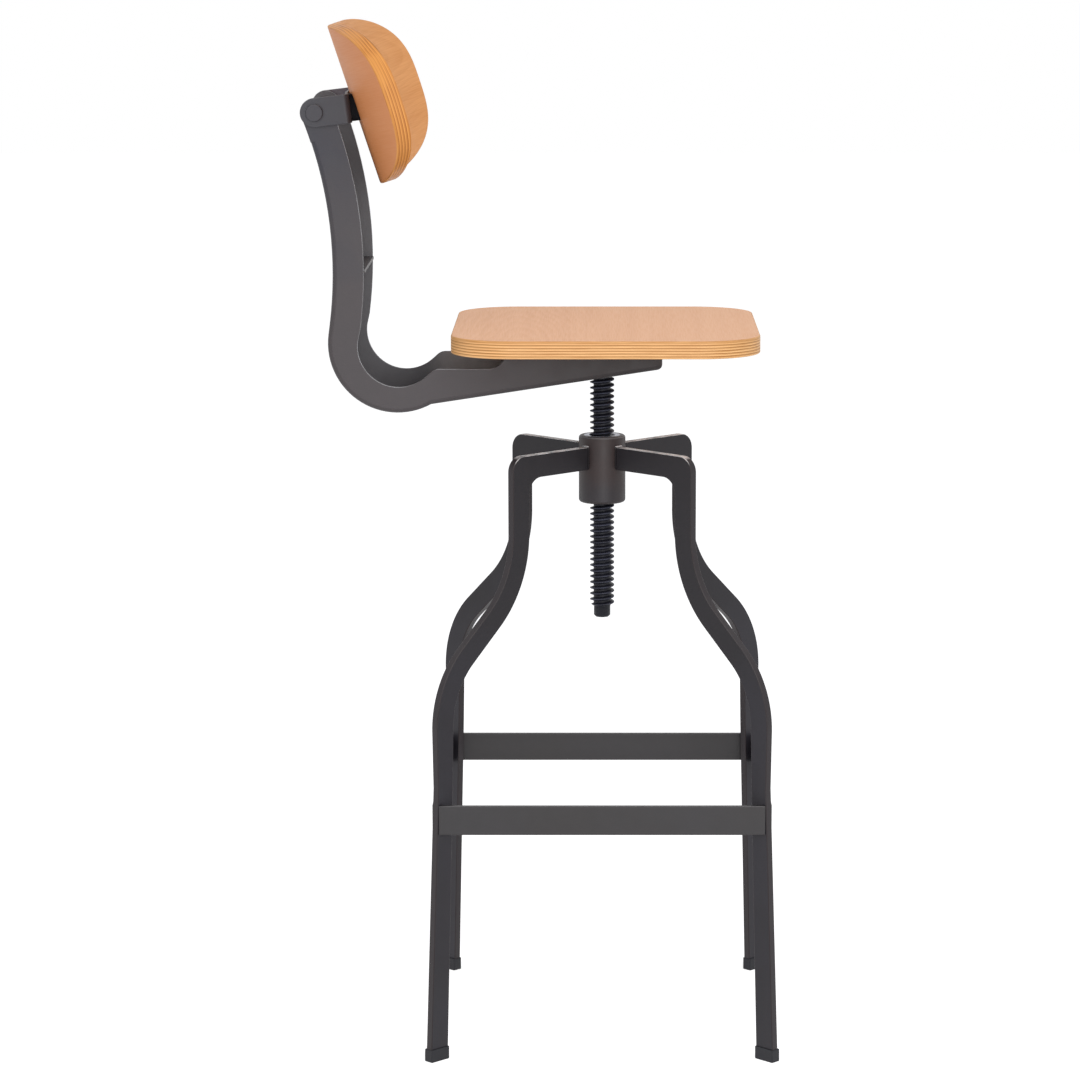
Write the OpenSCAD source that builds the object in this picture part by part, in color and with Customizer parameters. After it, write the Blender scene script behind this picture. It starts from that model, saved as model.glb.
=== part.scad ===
// Adjustable screw stool with a plywood seat and a tilting plywood backrest.
// Four profile-cut legs are welded to a hub, a lead screw in the hub carries the seat,
// and a pressed channel arm behind the seat carries the backrest on two pivots.
// Millimetres, +Z up, +X towards the sitter's front, origin on the floor under the screw.

/* [Hub and nut] */
// Outside diameter of the hub tube
hub_d = 48.4; // [44:0.2:60]
// Bore of the hub tube, which the nut is pressed into
hub_bore_d = 34; // [32:0.5:38]
// Height of the hub's upper rim above the leg arms
hub_rise = 10.5; // [6:0.5:16]
// Length of the hub tube
hub_len = 70; // [60:1:90]
// Chamfer round the hub's two rims
hub_chamfer = 3; // [1:0.5:4]
// Depth of the nut's top face below the hub's rim
nut_recess = 7; // [3:1:12]
// Length of the threaded nut
nut_len = 50; // [40:1:50]

/* [Lead screw] */
// Major diameter of the lead screw
screw_d = 25.4; // [22:0.2:28]
// Height of the lower end of the thread at rest
screw_z = 440; // [430:1:460]
// Diameter of the plain tip under the thread
tip_d = 17.2; // [14:0.2:20]
// Length of the plain tip
tip_len = 11.5; // [6:0.5:16]
// Diameter of the spigot that carries the seat plate
spigot_d = 18; // [14:1:20]

/* [Legs] */
// Thickness of the leg plate
leg_t = 8; // [6:0.5:10]
// Height of the top edge of the leg arms
arm_top_z = 609.5; // [600:0.5:615]
// Depth of the leg arms, from top edge to bottom edge
arm_depth = 23.8; // [20:0.2:28]
// Radius from the screw to the middle of the upper leg
drop_r = 119.8; // [110:0.2:130]
// Width of the upper leg across its plate
drop_w = 23; // [20:0.2:28]
// Outer radius of the corner between arm and leg
corner_outer_r = 16; // [15:1:30]
// Inner radius of the corner between arm and leg
corner_inner_r = 17; // [10:1:25]
// Height where the leg starts to bend outwards
bend_z = 529; // [500:1:545]
// Angle of the leg between its two bends
bend_angle = 49; // [40:1:55]
// Middle radius of the upper bend
bend_upper_r = 110; // [80:1:130]
// Straight length between the two bends
bend_run = 49; // [30:1:60]
// Middle radius of the lower bend
bend_lower_r = 94; // [70:1:110]
// Width of the leg at the end of the lower bend
bend_w = 22.6; // [19:0.2:26]
// Height where the lower leg starts to splay
shin_z = 283; // [275:1:320]
// Width of the lower leg at its narrowest
shin_w = 20; // [16:0.5:24]
// Outward splay of the lower leg down to the floor
shin_splay = 11; // [0:1:20]
// Width of the leg at the foot
foot_w = 23; // [18:0.5:26]

/* [Foot caps] */
// Height of the plastic foot caps
cap_h = 13; // [10:1:25]
// Wall of the foot caps
cap_wall = 1.2; // [0.8:0.1:2]
// Thickness of the cap under the leg
cap_floor = 3; // [2:0.5:6]

/* [Footrest] */
// Height of the middle of the footrest bars
bar_z = 251; // [230:1:265]
// Height of each footrest bar
bar_h = 30; // [20:1:35]
// Thickness of each footrest bar
bar_t = 5; // [3:0.5:8]

/* [Seat] */
// Height of the underside of the seat board
seat_z = 718; // [712:1:730]
// Thickness of the seat board
seat_t = 18; // [15:1:24]
// Length of the seat board, front to back
seat_l = 311; // [290:1:340]
// Width of the seat board
seat_w = 330; // [300:1:360]
// Distance of the seat's middle in front of the screw
seat_ahead = 3.5; // [0:0.5:10]
// Radius of the seat's corners
seat_corner_r = 62; // [40:1:80]
// Rounding of the seat's upper and lower rims
seat_edge_r = 1.5; // [0.5:0.5:3]
// Length of the steel plate under the seat
plate_l = 130; // [110:1:150]
// Thickness of the steel plate under the seat
plate_t = 6; // [4:0.5:8]
// Place of the seat plate's middle, ahead of the screw
plate_mid_x = -20; // [-30:1:0]

/* [Back arm] */
// Outside width of the channel arm
channel_w = 160; // [150:1:176]
// Sheet thickness of the channel arm
sheet_t = 3; // [2:0.5:4]
// Outer radius of the folds between the channel's back and its walls
fold_r = 5; // [4.5:0.5:7]
// Distance from the screw to the back of the upright at its waist
waist_x = -272; // [-275:0.1:-269]
// Height where the upright runs plumb
waist_z = 798; // [785:1:810]
// Depth of the upright
waist_depth = 31.5; // [28:0.5:34]
// Radius of the upright's backward lean, measured on its back
lean_r = 422; // [400:1:450]
// Angle that the lean's arc goes on below the waist
sag_angle = 7.6; // [6:0.2:9]
// Straight length between the lean and the elbow
elbow_run = 9.8; // [7:0.1:14]
// Outer radius of the arm's elbow behind the seat
elbow_r = 70.2; // [67:0.1:73]
// Radius of the wall's front edge inside the elbow
throat_r = 41.4; // [38:0.2:44]
// Depth of the wall where the front edge turns into the elbow
throat_depth = 30.5; // [28:0.1:33]
// Distance of the throat's centre below the elbow's
throat_drop = 2.1; // [0:0.1:5]
// Angle of the elbow's back where it creases into the lower face
elbow_exit_angle = 28.8; // [22:0.2:32]
// Angle of the wall's edge that rises from the throat to the shoulder
throat_angle = 42; // [39:1:44]
// Rounding of the wall's edge where that rise meets the shoulder
shoulder_r = 13; // [8:1:16]
// Run of the lower face under the seat, along the arm's own frame
tail_run = 24; // [22:1:27]
// Rise of the lower face that goes with that run
tail_rise = 7; // [6.5:0.5:7.5]
// Front end of the arm, ahead of the screw
tail_x = 61; // [55:1:70]
// Rounding of the arm's lower front corner
tail_corner_r = 7; // [4:1:9]
// Height of the wall's shoulder between the elbow and the seat
shoulder_z = 697.9; // [696:0.1:702]
// Front end of the wall's shoulder
shoulder_x = -116; // [-125:1:-110]
// Height of the cross plate's top face
shelf_z = 798; // [780:1:820]

/* [Backrest] */
// Distance of the backrest pivot behind the screw
pivot_x = -287.8; // [-289:0.1:-286]
// Height of the backrest pivot
pivot_z = 956.4; // [955:0.1:958]
// Backward lean of the backrest board
board_lean = 18.2; // [12:0.2:24]
// Thickness of the backrest board
board_t = 14; // [12:1:18]
// Width of the backrest board
board_w = 380; // [340:2:400]
// Height of the backrest board along its slope
board_h = 167; // [150:1:180]
// Height of the board's middle below the pivot, along its slope
board_drop = 6.1; // [-5:0.1:15]
// Radius of the board's bend, measured on its back
board_bend_r = 430; // [380:5:600]
// Fullness of the board's upper outline, where 2 is an ellipse
board_fullness = 2.8; // [2.2:0.1:3.5]
// Fullness of the board's lower outline
board_fullness_low = 3.3; // [2.2:0.1:4]
// Distance from the pivot to the back of the board
board_ahead = 34.9; // [33:0.1:38]

/* [Backrest bracket] */
// Height of the bracket
bracket_h = 29; // [24:1:34]
// Upward pitch of the bracket's ears
bracket_pitch = 7; // [0:1:12]
// Distance from the pivot to the front face of the bracket's web, at its middle
bracket_ahead = 31.9; // [30:0.1:32.5]
// Radius of the web's bend, its hollow side to the board
bracket_bend_r = 720; // [650:10:1000]
// Rounding between the bracket's ears and its web
bracket_corner_r = 6; // [4:0.5:10]
// Diameter of the pivot rivets
rivet_d = 10; // [8:1:12]
// Diameter of the rivet heads
rivet_head_d = 17.6; // [14:0.2:24]
// Height of the rivet heads
rivet_head_h = 2.8; // [2:0.2:4]
// Thickness of the washers between arm and bracket
washer_t = 1.2; // [0.8:0.1:2]
// Distance between the two backrest screws
back_screw_span = 100; // [84:2:106]
// Width of the pads between bracket and board
pad_w = 50; // [30:2:52]
// Height of the pads between bracket and board
pad_h = 27; // [16:1:28]

/* [Screws and clearances] */
// Shank diameter of the wood screws
wood_screw_d = 5; // [4:0.5:6]
// Head diameter of the wood screws
wood_screw_head_d = 10; // [8:0.5:12]
// Head height of the wood screws
wood_screw_head_h = 3; // [2:0.5:4]
// Depth that the screws reach into the boards
wood_screw_bite = 10; // [8:0.5:11]
// Radial clearance of a turning or sliding fit
running_gap = 0.05; // [0.02:0.01:0.1]
// Clearance between welded or pressed pieces
weld_gap = 0.05; // [0.02:0.01:0.2]
// Clearance between faces that slide past each other
slide_gap = 0.3; // [0.2:0.05:0.5]

/* [Hidden] */
$fn = 96;

arc_steps = 14;
leg_angles = [45, 135, 225, 315];
steel = "#45424a";
bare_steel = "#2c2c34";
bronze = "#6d5c44";
plastic = "#26262a";
plywood = "#d9a673";

hub_r = hub_d / 2;
hub_z = arm_top_z + hub_rise - hub_len;
hub_top_z = hub_z + hub_len;
nut_top_z = hub_top_z - nut_recess;
plate_z = seat_z - plate_t;
wall_y = channel_w / 2;
inner_y = wall_y - sheet_t;
through = 1;

function lerp(a, b, t) = a + (b - a) * t;
function arc(cx, cz, r, a0, a1) =
    [for (i = [0 : arc_steps]) let (a = lerp(a0, a1, i / arc_steps)) [cx + r * cos(a), cz + r * sin(a)]];
function reversed(list) = [for (i = [len(list) - 1 : -1 : 0]) list[i]];

// Lower bend of a leg: where its centre line leaves the straight run, and the bend's centre
run_end_r = drop_r + bend_upper_r * (1 - cos(bend_angle)) + bend_run * sin(bend_angle);
run_end_z = bend_z - bend_upper_r * sin(bend_angle) - bend_run * cos(bend_angle);
lower_c_r = run_end_r - bend_lower_r * cos(bend_angle);
lower_c_z = run_end_z - bend_lower_r * sin(bend_angle);
shin_r = lower_c_r + bend_lower_r;

// Radius from the screw to the middle of the lower leg at a height below shin_z
function shin_r_at(z) = shin_r + shin_splay * (shin_z - z) / shin_z;
function shin_w_at(z) = lerp(shin_w, foot_w, (shin_z - z) / shin_z);

// One edge of the bent leg from the upper bend to a height near the floor.
// side is 1 for the outer edge and -1 for the inner one, grow widens the leg on each side.
function leg_edge(side, grow, end_z) = concat(
    [for (i = [0 : arc_steps])
        let (t = i / arc_steps, a = 180 + bend_angle * t,
             h = side * (lerp(drop_w, bend_w, t / 2) / 2 + grow))
        [drop_r + bend_upper_r + (bend_upper_r - h) * cos(a), bend_z + (bend_upper_r - h) * sin(a)]],
    [for (i = [0 : arc_steps])
        let (t = i / arc_steps, a = bend_angle * (1 - t),
             h = side * (lerp(drop_w, bend_w, (1 + t) / 2) / 2 + grow))
        [lower_c_r + (bend_lower_r + h) * cos(a), lower_c_z + (bend_lower_r + h) * sin(a)]],
    [[shin_r + side * (shin_w / 2 + grow), shin_z],
     [shin_r_at(end_z) + side * (shin_w_at(end_z) / 2 + grow), end_z]]);

// Side outline of the whole leg, radius from the screw across and height up
function leg_outline(grow, end_z) = concat(
    [[0, arm_top_z + grow]],
    arc(drop_r + drop_w / 2 - corner_outer_r, arm_top_z - corner_outer_r, corner_outer_r + grow, 90, 0),
    leg_edge(1, grow, end_z),
    reversed(leg_edge(-1, grow, end_z)),
    arc(drop_r - drop_w / 2 - corner_inner_r, arm_top_z - arm_depth - corner_inner_r,
        corner_inner_r - grow, 0, 90),
    [[0, arm_top_z - arm_depth - grow]]);

// Stands a side outline up on edge, along the radius at an angle round the screw
module upright(angle, thickness) {
    rotate([0, 0, angle])
        translate([0, thickness / 2, 0])
            rotate([90, 0, 0])
                linear_extrude(height = thickness)
                    children();
}

module rounded_square(size, r) {
    for (sx = [-1, 1], sy = [-1, 1])
        translate([sx * (size[0] / 2 - r), sy * (size[1] / 2 - r)])
            circle(r);
    square([size[0] - 2 * r, size[1]], center = true);
    square([size[0], size[1] - 2 * r], center = true);
}

// Hub: drawn tube, both rims chamfered outside
module hub_tube() {
    color(steel)
    translate([0, 0, hub_z])
        rotate_extrude()
            polygon([[hub_bore_d / 2, 0], [hub_r - hub_chamfer, 0],
                     [hub_r, hub_chamfer], [hub_r, hub_len - hub_chamfer],
                     [hub_r - hub_chamfer, hub_len], [hub_bore_d / 2, hub_len]]);
}

// Nut pressed into the hub; its thread is drawn as a plain running bore
module spindle_nut() {
    color(bronze)
    translate([0, 0, nut_top_z - nut_len])
        difference() {
            cylinder(r = hub_bore_d / 2 - weld_gap, h = nut_len);
            translate([0, 0, -through])
                cylinder(r = screw_d / 2 + running_gap, h = nut_len + 2 * through);
        }
}

// Lead screw at its major diameter, with the plain tip below and the seat spigot above
module lift_screw() {
    tip_chamfer = 2;
    shoulder_top = plate_z - slide_gap;
    color(bare_steel) {
        translate([0, 0, screw_z])
            cylinder(d = screw_d, h = shoulder_top - screw_z);
        translate([0, 0, shoulder_top])
            cylinder(d = spigot_d, h = seat_z - slide_gap - shoulder_top);
        translate([0, 0, screw_z - tip_len])
            rotate_extrude()
                polygon([[0, 0], [tip_d / 2 - tip_chamfer, 0], [tip_d / 2, tip_chamfer], [tip_d / 2, tip_len],
                         [0, tip_len]]);
    }
}

// Leg: one plate, cut to the outline and coped to the round hub
module leg(i) {
    color(steel)
    difference() {
        upright(leg_angles[i], leg_t)
            polygon(leg_outline(0, cap_floor));
        cylinder(r = hub_r + weld_gap, h = arm_top_z + through);
    }
}

// Slip-on foot cap, pocketed to the leg's own outline
module foot_cap(i) {
    pocket_gap = 0.15;
    lip = 1;
    corner_r = 3;
    spare = 2;
    mouth_z = cap_h - lip;
    outer_w = foot_w + 2 * cap_wall;
    outer_t = leg_t + 2 * cap_wall;
    color(plastic)
    difference() {
        intersection() {
            upright(leg_angles[i], outer_t)
                polygon([for (side = [1, -1], k = [0, 1, 2, 3])
                    let (end = side > 0 ? k : 3 - k,
                         z = [0, lip, mouth_z, cap_h][end],
                         in = [lip, 0, 0, lip][end])
                    [shin_r_at(z) + side * (outer_w / 2 - in), z]]);
            rotate([0, 0, leg_angles[i]])
                translate([shin_r_at(0), 0, -through])
                    linear_extrude(height = cap_h + 2 * through)
                        rounded_square([outer_w + spare, outer_t], corner_r);
        }
        upright(leg_angles[i], leg_t + 2 * pocket_gap)
            polygon(leg_outline(pocket_gap, cap_floor));
    }
}

// Footrest bar: flat bar flush with the legs' outer corners, its ends mitred to their plates
module footrest(quarter) {
    face_r = (shin_r_at(bar_z) + shin_w_at(bar_z) / 2 + leg_t / 2) / sqrt(2);
    setback = (leg_t / 2 + weld_gap) * sqrt(2);
    color(steel)
    rotate([0, 0, 90 * quarter])
        translate([0, 0, bar_z - bar_h / 2])
            linear_extrude(height = bar_h)
                polygon([[face_r, setback - face_r], [face_r, face_r - setback],
                         [face_r - bar_t, face_r - bar_t - setback],
                         [face_r - bar_t, setback - face_r + bar_t]]);
}

// Where the four wood screws go up through the plate
function seat_screw_points() =
    let (inset = 18)
    [for (sx = [-1, 1], sy = [-1, 1]) [plate_mid_x + sx * (plate_l / 2 - inset), sy * (inner_y - inset)]];

// Steel plate between the channel walls, under the board
module seat_plate() {
    corner_r = 8;
    color(steel)
    translate([0, 0, plate_z])
        difference() {
            linear_extrude(height = plate_t)
                translate([plate_mid_x, 0])
                    rounded_square([plate_l, 2 * (inner_y - weld_gap)], corner_r);
            translate([0, 0, -through])
                cylinder(r = spigot_d / 2 + running_gap, h = plate_t + 2 * through);
            for (p = seat_screw_points())
                translate([p[0], p[1], -through])
                    cylinder(r = wood_screw_d / 2 + weld_gap, h = plate_t + 2 * through);
        }
}

// Wood screw: head below the origin, shank up Z through the grip and into the board
module wood_screw(grip) {
    slot_face_d = 0.7 * wood_screw_head_d;
    translate([0, 0, -wood_screw_head_h])
        cylinder(d1 = slot_face_d, d2 = wood_screw_head_d, h = wood_screw_head_h);
    cylinder(d = wood_screw_d, h = grip + wood_screw_bite);
}

module seat_screws() {
    color(bare_steel)
    for (p = seat_screw_points())
        translate([p[0], p[1], plate_z])
            wood_screw(plate_t);
}

// Seat board: rounded square with eased rims
module seat_panel() {
    pilot_spare = 0.5;
    color(plywood)
    difference() {
        union() {
            translate([seat_ahead, 0, seat_z + seat_edge_r])
                linear_extrude(height = seat_t - 2 * seat_edge_r)
                    rounded_square([seat_l, seat_w], seat_corner_r);
            for (layer = [0, 1])
                translate([seat_ahead, 0, seat_z + layer * (seat_t - seat_edge_r)])
                    linear_extrude(height = seat_edge_r)
                        rounded_square([seat_l - seat_edge_r, seat_w - seat_edge_r],
                                       seat_corner_r - seat_edge_r / 2);
        }
        for (p = seat_screw_points())
            translate([p[0], p[1], seat_z - through])
                cylinder(r = wood_screw_d / 2 + weld_gap, h = through + wood_screw_bite + pilot_spare);
    }
}

// The arm is drawn in side view in a frame of its own, where every joint of its outline is square:
// origin on the back where the lean's arc ends, X into the channel, Z along the sheet
lean_end = [waist_x - lean_r, waist_z] + lean_r * [cos(sag_angle), -sin(sag_angle)];
pivot_p = in_arm([pivot_x, pivot_z]);
tail_turn = atan2(tail_rise, tail_run);
tail_angle = tail_turn - sag_angle;
lean_top_angle = asin(pivot_p[1] / (lean_r + waist_depth / 2));
web_top_angle = asin((pivot_p[1] - bracket_h) / lean_r);
fold_lap = 1;
elbow_c = [elbow_r, -elbow_run];
elbow_end_angle = 270 + elbow_exit_angle + sag_angle;
crease_p = elbow_at(0, elbow_end_angle);
throat_c = [throat_depth + throat_r, -elbow_run - throat_drop];

// World point in side view to the arm's frame, and back
function in_arm(p) = let (d = p - lean_end)
    [d[0] * cos(sag_angle) - d[1] * sin(sag_angle), d[0] * sin(sag_angle) + d[1] * cos(sag_angle)];
function in_world(p) = lean_end
    + [p[0] * cos(sag_angle) + p[1] * sin(sag_angle), p[1] * cos(sag_angle) - p[0] * sin(sag_angle)];
function elbow_at(depth, angle) = elbow_c + (elbow_r - depth) * [cos(angle), sin(angle)];
// Height of the arm's lower face under the seat
function tail_z(x) = let (p = in_world(crease_p)) p[1] + (x - p[0]) * tan(tail_angle);

module arm_frame() {
    translate([lean_end[0], 0, lean_end[1]])
        rotate([0, sag_angle, 0])
            children();
}

// Part of a ring between two angles, for spans up to 150 degrees
module ring_sector(c, r_in, r_out, a0, a1) {
    reach = 1.5 * r_out;
    translate(c)
        intersection() {
            difference() {
                circle(r_out);
                circle(r_in);
            }
            polygon(concat([[0, 0]],
                           [for (k = [0 : 3]) let (a = lerp(a0, a1, k / 3)) reach * [cos(a), sin(a)]]));
        }
}

// Room that the wall leaves open, in the arm's frame: the edge runs round the throat, up a slope that
// leaves it square to its radius, over the rounded shoulder and up again under the seat
function wall_opening(top) =
    let (steps = 2 * arc_steps, start_angle = 172, clear = 20,
         c = in_world(throat_c),
         slope_x = c[0] + throat_r * sin(throat_angle),
         slope_z = c[1] - throat_r * cos(throat_angle),
         corner_x = slope_x + (shoulder_z - slope_z) / tan(throat_angle),
         end_x = shoulder_x + top - shoulder_z)
    concat([for (i = [0 : steps])
                let (angle = lerp(start_angle, 270 + throat_angle + sag_angle, i / steps))
                throat_c + throat_r * [cos(angle), sin(angle)]],
           [for (p = concat(arc(corner_x + shoulder_r * tan(throat_angle / 2), shoulder_z - shoulder_r,
                                shoulder_r, 90 + throat_angle, 90),
                            arc(shoulder_x, top, top - shoulder_z, 270, 360),
                            [[end_x, top + clear]]))
               in_arm(p)],
           [[throat_depth, clear]]);

// Side wall, starting a little inside the strip that the folds leave
module wall_outline() {
    wall_top = seat_z - weld_gap;
    start = fold_r + fold_lap / 2;
    start_z = start / cos(tail_angle);
    buried_x = in_world(crease_p)[0] - fold_r;
    front_x = tail_x + fold_r;
    overlap_angle = 0.2;
    ring_sector([-lean_r, 0], lean_r + start, lean_r + waist_depth, 0, lean_top_angle);
    ring_sector([-lean_r, 0], lean_r, lean_r + waist_depth, web_top_angle - overlap_angle, lean_top_angle);
    translate(pivot_p)
        circle(bracket_h / 2);
    polygon([[start, 0], [waist_depth, 0], [throat_depth, throat_c[1]], [start, -elbow_run]]);
    difference() {
        union() {
            ring_sector(elbow_c, fold_r, elbow_r - start, 180, elbow_end_angle);
            polygon([for (p = [in_world(elbow_c), [buried_x, tail_z(buried_x) + start_z],
                               [front_x, tail_z(front_x) + start_z], [front_x, wall_top],
                               [shoulder_x + wall_top - shoulder_z, wall_top]])
                         in_arm(p)]);
        }
        polygon(wall_opening(wall_top));
    }
}

// Section through the channel's back with its two folds: X is the depth, Y runs across
module web_section() {
    flat_half = wall_y - fold_r;
    translate([0, -flat_half])
        square([sheet_t, 2 * flat_half]);
    for (side = [-1, 1]) {
        translate([fold_r, side * flat_half])
            intersection() {
                difference() {
                    circle(fold_r);
                    circle(fold_r - sheet_t);
                }
                translate([-fold_r, side > 0 ? 0 : -fold_r])
                    square(fold_r);
            }
        translate([fold_r, side > 0 ? inner_y : -wall_y])
            square([fold_lap, sheet_t]);
    }
}

// Turns a section about a centre in side view, from one angle to another
module sweep_arc(c, a0, a1) {
    translate([c[0], 0, c[1]])
        rotate([90, 0, 0])
            rotate([0, 0, a0])
                rotate_extrude(angle = a1 - a0)
                    children();
}

// Back and folds of the channel, the elbow and the lower face running a little into each other
module arm_web() {
    elbow_lap_angle = 1.5;
    tail_lap = 0.8;
    spare_x = tail_x + fold_r;
    front_p = in_arm([spare_x, tail_z(spare_x)]);
    sweep_arc([-lean_r, 0], 0, web_top_angle)
        translate([lean_r, 0])
            web_section();
    translate([0, 0, -elbow_run])
        linear_extrude(height = elbow_run)
            web_section();
    sweep_arc(elbow_c, 180, elbow_end_angle + elbow_lap_angle)
        translate([elbow_r, 0])
            mirror([1, 0])
                web_section();
    translate([front_p[0], 0, front_p[1]])
        rotate([0, -90 - tail_turn, 0])
            linear_extrude(height = norm(front_p - crease_p) + tail_lap)
                web_section();
}

// What is cut off in front of the arm's end, in side view, so that its lower corner is round
module tail_trim() {
    spare = 2;
    c = [tail_x - tail_corner_r, tail_z(tail_x - tail_corner_r) + tail_corner_r / cos(tail_angle)];
    corner = arc(c[0], c[1], tail_corner_r, tail_angle - 90, 0);
    start_p = 2 * corner[0] - corner[1];
    polygon(concat([start_p], [for (i = [1 : arc_steps]) corner[i]],
                   [[tail_x, seat_z], [tail_x + 2 * fold_r, seat_z],
                    [tail_x + 2 * fold_r, start_p[1] - spare]]));
}

// Back arm: pressed channel, one sheet folded along its back and lower face
module back_arm() {
    screw_hole_gap = 1;
    color(steel)
    difference() {
        arm_frame() {
            for (side = [-1, 1])
                translate([0, side > 0 ? wall_y : -inner_y, 0])
                    rotate([90, 0, 0])
                        linear_extrude(height = sheet_t)
                            wall_outline();
            arm_web();
        }
        translate([0, wall_y + through, 0])
            rotate([90, 0, 0])
                linear_extrude(height = channel_w + 2 * through)
                    tail_trim();
        translate([0, 0, hub_z])
            cylinder(r = screw_d / 2 + screw_hole_gap, h = plate_z - hub_z);
        translate([pivot_x, -wall_y - through, pivot_z])
            rotate([-90, 0, 0])
                cylinder(r = rivet_d / 2 + running_gap, h = channel_w + 2 * through);
    }
}

// Cross plate that ties the two walls at the upright's waist, its back corners cut off
module arm_cross_plate() {
    proud = 1;
    back_x = waist_x + sheet_t + weld_gap;
    front_x = waist_x + waist_depth + proud;
    half_w = inner_y - weld_gap;
    cut = fold_r - sheet_t;
    color(steel)
    translate([0, 0, shelf_z - sheet_t])
        linear_extrude(height = sheet_t)
            polygon([[back_x, cut - half_w], [back_x + cut, -half_w], [front_x, -half_w],
                     [front_x, half_w], [back_x + cut, half_w], [back_x, half_w - cut]]);
}

// Moves a piece drawn along Z to the pivot axis, pointing out of one side of the arm
module at_pivot(side) {
    translate([pivot_x, 0, pivot_z])
        rotate([-90 * side, 0, 0])
            children();
}

ear_y = wall_y + washer_t + slide_gap / 2;

module pivot_washer(side) {
    washer_d = bracket_h - 3;
    color(bronze)
    at_pivot(side)
        translate([0, 0, wall_y + slide_gap / 4])
            difference() {
                cylinder(d = washer_d, h = washer_t);
                translate([0, 0, -through])
                    cylinder(r = rivet_d / 2 + running_gap, h = washer_t + 2 * through);
            }
}

// Places a piece in the bracket's own frame: origin at the pivot, X along the ears, Z up the web
module bracket_frame() {
    translate([pivot_x, 0, pivot_z])
        rotate([0, -bracket_pitch, 0])
            children();
}

bracket_outer_y = ear_y + sheet_t;
bracket_bend_x = bracket_ahead + bracket_bend_r;
bracket_corner_y = bracket_outer_y - bracket_corner_r;
bracket_corner_turn = asin(bracket_corner_y / (bracket_bend_r + bracket_corner_r));
bracket_corner_x = bracket_bend_x - (bracket_bend_r + bracket_corner_r) * cos(bracket_corner_turn);
back_screw_turn = asin(back_screw_span / 2 / bracket_bend_r);

// One face of the bent strip in plan: the outer one at depth 0, the inner one at the sheet's thickness
function strip_face(depth) =
    let (r = bracket_corner_r - depth, turn = bracket_corner_turn,
         web = arc(bracket_bend_x, 0, bracket_bend_r + depth, 180 - turn, 180 + turn))
    concat([[-bracket_h, bracket_outer_y - depth]],
           arc(bracket_corner_x, bracket_corner_y, r, 90, -turn),
           [for (i = [1 : arc_steps - 1]) web[i]],
           arc(bracket_corner_x, -bracket_corner_y, r, turn, -90),
           [[-bracket_h, depth - bracket_outer_y]]);

// Places a piece drawn along Z on the front face of the bracket's web, square to it
module back_fastener_frame() {
    bracket_frame()
        for (side = [-1, 1])
            translate([bracket_bend_x, 0, 0])
                rotate([0, 0, side * back_screw_turn])
                    translate([-bracket_bend_r, 0, 0])
                        rotate([0, 90, 0])
                            children();
}

// Backrest bracket: sheet strip bent to a U with a hollow web, ear ends rounded about the pivot
module back_bracket() {
    reach = bracket_corner_x + bracket_corner_r + through;
    depth = bracket_outer_y + through;
    color(steel)
    difference() {
        bracket_frame()
            difference() {
                intersection() {
                    translate([0, 0, -bracket_h / 2])
                        linear_extrude(height = bracket_h)
                            polygon(concat(strip_face(0), reversed(strip_face(sheet_t))));
                    translate([0, depth, 0])
                        rotate([90, 0, 0])
                            linear_extrude(height = 2 * depth) {
                                circle(d = bracket_h);
                                translate([0, -bracket_h / 2])
                                    square([reach, bracket_h]);
                            }
                }
                translate([0, -depth, 0])
                    rotate([-90, 0, 0])
                        cylinder(r = rivet_d / 2 + weld_gap, h = 2 * depth);
            }
        back_fastener_frame()
            translate([0, 0, -sheet_t - through])
                cylinder(r = wood_screw_d / 2 + weld_gap, h = sheet_t + 2 * through);
    }
}

// Pivot rivet: flat head with an eased rim, shank through ear, washer and wall, tail inside
module pivot_rivet(side) {
    tail_h = 3;
    tail_spread = 3;
    tail_d = rivet_d + 2 * tail_spread;
    head_y = ear_y + sheet_t;
    head_r = rivet_head_d / 2;
    rim = 0.8;
    color(steel)
    at_pivot(side) {
        translate([0, 0, head_y])
            rotate_extrude()
                polygon([[0, 0], [head_r, 0], [head_r, rivet_head_h - rim], [head_r - rim, rivet_head_h],
                         [0, rivet_head_h]]);
        translate([0, 0, inner_y - slide_gap - tail_h / 2])
            cylinder(d = rivet_d, h = head_y - inner_y + slide_gap + tail_h / 2);
        translate([0, 0, inner_y - slide_gap - tail_h])
            cylinder(d = tail_d, h = tail_h);
    }
}

// Places a piece in the board's own frame: origin at the middle of the back face, X forwards
module board_frame() {
    translate([pivot_x, 0, pivot_z])
        rotate([0, -board_lean, 0])
            translate([board_ahead, 0, -board_drop])
                children();
}

// Outline of the backrest board: a full ellipse-like curve, wide and low
module board_outline() {
    rim_steps = 96;
    polygon([for (i = [0 : rim_steps - 1])
        let (a = 360 * i / rim_steps, c = cos(a), s = sin(a),
             power = 2 / (s > 0 ? board_fullness : board_fullness_low))
        [sign(c) * pow(abs(c), power) * board_w / 2, sign(s) * pow(abs(s), power) * board_h / 2]]);
}

// Solid of everything in front of the board's back face, as a plain cylinder
module bend_cylinder(r) {
    translate([board_bend_r, 0, -board_h])
        cylinder(r = r, h = 2 * board_h, $fn = 256);
}

// Backrest board: bent plywood, hollow side towards the sitter
module backrest_panel() {
    pilot_spare = 0.5;
    board_reach = board_bend_r / 2;
    color(plywood)
    difference() {
        board_frame()
            difference() {
                intersection() {
                    bend_cylinder(board_bend_r);
                    rotate([90, 0, 90])
                        linear_extrude(height = board_reach)
                            board_outline();
                }
                bend_cylinder(board_bend_r - board_t);
            }
        back_fastener_frame()
            cylinder(r = wood_screw_d / 2 + weld_gap, h = pad_reach + wood_screw_bite + pilot_spare);
    }
}

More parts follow.
